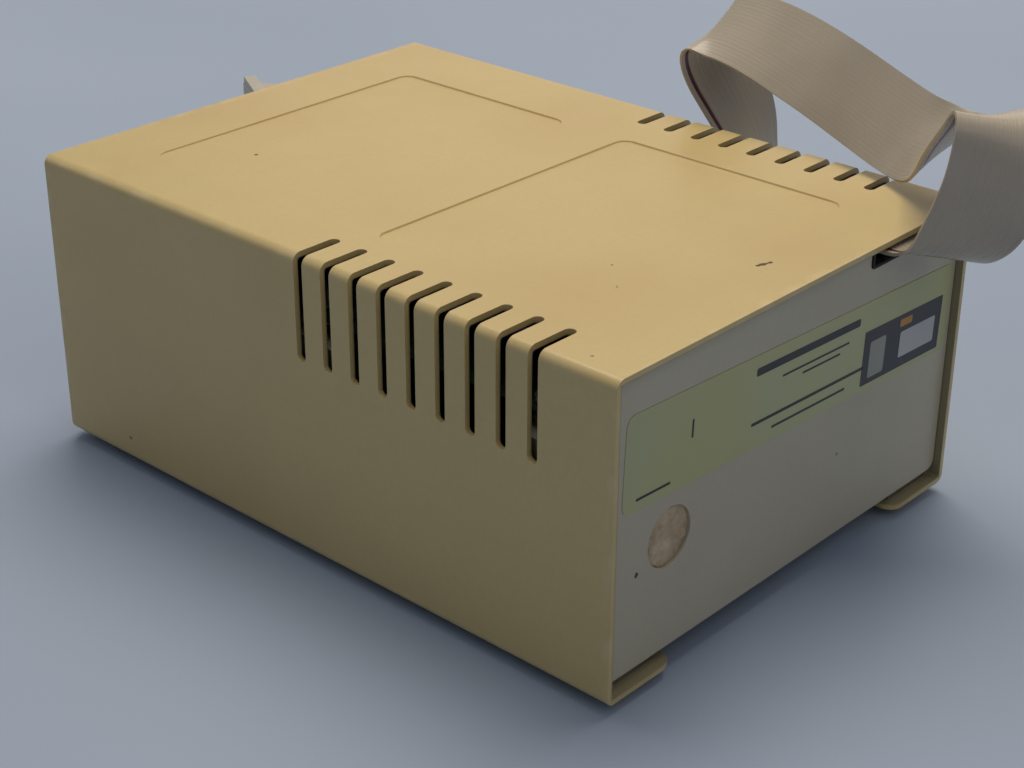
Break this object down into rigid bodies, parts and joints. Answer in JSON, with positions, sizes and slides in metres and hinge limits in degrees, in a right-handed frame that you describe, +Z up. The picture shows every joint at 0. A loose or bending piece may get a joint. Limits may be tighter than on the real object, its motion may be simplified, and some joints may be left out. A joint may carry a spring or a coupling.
{
  "type": "floppy disk drive",
  "caption": "Floppy disk drive in a folded beige steel case with cooling slots, a pressed top, a hinged front door, a grey flat cable and its plug.",
  "frame": {"origin": "on the table under the middle of the case, measured without the free cable and its plug", "axes": "-Y towards the door, +Y towards the back panel and cable, +X to the right seen from the front, +Z up"},
  "size_m": [0.2994, 0.4554, 0.128],
  "materials": {
    "case_paint": "aged beige paint, satin",
    "panel_paint": "grey beige paint, satin",
    "label_vinyl": "pale green printed film",
    "seal_paper": "pinkish cream paper",
    "black_rubber": "matt",
    "zinc_steel": "zinc plated",
    "screw_steel": "zinc plated",
    "bezel_plastic": "fine textured black",
    "light_lens": "clear red",
    "black_nylon": "satin",
    "cast_metal": "as cast",
    "guide_plastic": "satin",
    "bearing_steel": "polished",
    "shaft_steel": "ground",
    "hub_metal": "turned",
    "strobe_paper": "printed",
    "belt_rubber": "matt",
    "motor_can": "plated",
    "brass": "turned",
    "cam_plastic": "natural",
    "carriage_plastic": "satin",
    "head_ceramic": "polished",
    "pad_felt": "felt",
    "cone_plastic": "satin",
    "board_laminate": "green solder mask",
    "chip_plastic": "moulded",
    "capacitor_sleeve": "blue sleeve",
    "trimmer_blue": "moulded",
    "cable_vinyl": "grey ribbed vinyl",
    "plug_plastic": "light grey"
  },
  "bodies": {
    "case": {"outer_cover": "case_paint", "back_panel": "panel_paint", "hole_seal": "seal_paper", "rating_label": "label_vinyl", "cable_notch_trim": "black_rubber", "base_plate": "zinc_steel", "rubber_feet": "black_rubber", "case_screws": "screw_steel", "front_bezel": "bezel_plastic", "door_hinge_pin": "shaft_steel", "activity_light": "light_lens", "led_holder": "black_nylon", "drive_chassis": "cast_metal", "disk_guide_left": "guide_plastic", "disk_guide_right": "guide_plastic", "spindle_bearing_upper": "bearing_steel", "spindle_bearing_lower": "bearing_steel", "drive_belt": "belt_rubber", "spindle_motor": "motor_can", "motor_screws": "screw_steel", "stepper_motor": "motor_can", "stepper_screws": "screw_steel", "guide_rods": "shaft_steel", "clamp_arm_pin": "shaft_steel", "write_protect_switch": "chip_plastic", "analog_board": "board_laminate", "board_chips": "chip_plastic", "board_capacitors": "capacitor_sleeve", "board_header": "black_nylon", "board_socket": "plug_plastic", "board_standoffs": "brass", "board_screws": "screw_steel", "motor_speed_board": "board_laminate", "speed_trimmer": "trimmer_blue", "ribbon_inner": "cable_vinyl", "ribbon_cable": "cable_vinyl", "cable_connector": "plug_plastic", "connector_cap": "plug_plastic"},
    "door": {"door": "bezel_plastic"},
    "spindle": {"spindle_shaft": "shaft_steel", "spindle_hub": "hub_metal", "flywheel_pulley": "hub_metal", "strobe_disc": "strobe_paper"},
    "motor_rotor": {"motor_shaft": "shaft_steel", "motor_pulley": "brass"},
    "cam": {"stepper_shaft": "shaft_steel", "spiral_cam": "cam_plastic"},
    "carriage": {"head_carriage": "carriage_plastic", "read_write_head": "head_ceramic", "cam_follower": "shaft_steel", "pad_arm_pin": "shaft_steel"},
    "pad_arm": {"pressure_pad_arm": "carriage_plastic", "pressure_pad": "pad_felt"},
    "clamp": {"clamp_arm": "zinc_steel"},
    "cone": {"clamp_cone": "cone_plastic", "cone_retainer": "shaft_steel"},
    "switch_lever": {"write_protect_lever": "shaft_steel"},
    "adjuster": {"trimmer_rotor": "cam_plastic"}
  },
  "joints": [
    {"name": "door_hinge", "type": "hinge", "parent": "case", "child": "door", "pos_m": [0, -0.1072, 0.06575], "axis": [-1, 0, 0], "range_deg": [0, 80]},
    {"name": "clamp_arm_lift", "type": "hinge", "parent": "case", "child": "clamp", "pos_m": [0, -0.002, 0.062], "axis": [-1, 0, 0], "range_deg": [0, 16]},
    {"name": "cone_spin", "type": "hinge", "parent": "clamp", "child": "cone", "pos_m": [0, -0.0305, 0.055], "axis": [0, 0, 1], "continuous": true},
    {"name": "spindle_spin", "type": "hinge", "parent": "case", "child": "spindle", "pos_m": [0, -0.0305, 0.03], "axis": [0, 0, 1], "continuous": true},
    {"name": "motor_spin", "type": "hinge", "parent": "case", "child": "motor_rotor", "pos_m": [-0.051, 0.056, 0.02], "axis": [0, 0, 1], "continuous": true},
    {"name": "cam_turn", "type": "hinge", "parent": "case", "child": "cam", "pos_m": [0, 0.056, 0.03], "axis": [0, 0, 1], "range_deg": [0, 244.8]},
    {"name": "carriage_slide", "type": "slide", "parent": "case", "child": "carriage", "axis": [0, -1, 0], "range_m": [0, 0.018]},
    {"name": "pad_arm_lift", "type": "hinge", "parent": "carriage", "child": "pad_arm", "pos_m": [0, 0.06, 0.052], "axis": [-1, 0, 0], "range_deg": [0, 12]},
    {"name": "write_protect_press", "type": "hinge", "parent": "case", "child": "switch_lever", "pos_m": [-0.0595, -0.052, 0.05275], "axis": [-1, 0, 0], "range_deg": [0, 6.5], "stiffness_Nm_per_rad": 0.01},
    {"name": "speed_adjust", "type": "hinge", "parent": "case", "child": "adjuster", "pos_m": [0.0514, 0.098, 0.0395], "axis": [0, 1, 0], "range_deg": [-135, 135]}
  ],
  "couplings": [
    {"joint": "clamp_arm_lift", "follows": "door_hinge", "ratio": 0.2},
    {"joint": "pad_arm_lift", "follows": "door_hinge", "ratio": 0.15},
    {"joint": "cone_spin", "follows": "spindle_spin", "ratio": 1},
    {"joint": "motor_spin", "follows": "spindle_spin", "ratio": 6.2857},
    {"joint": "cam_turn", "follows": "carriage_slide", "rad_per_m": 237.36}
  ]
}
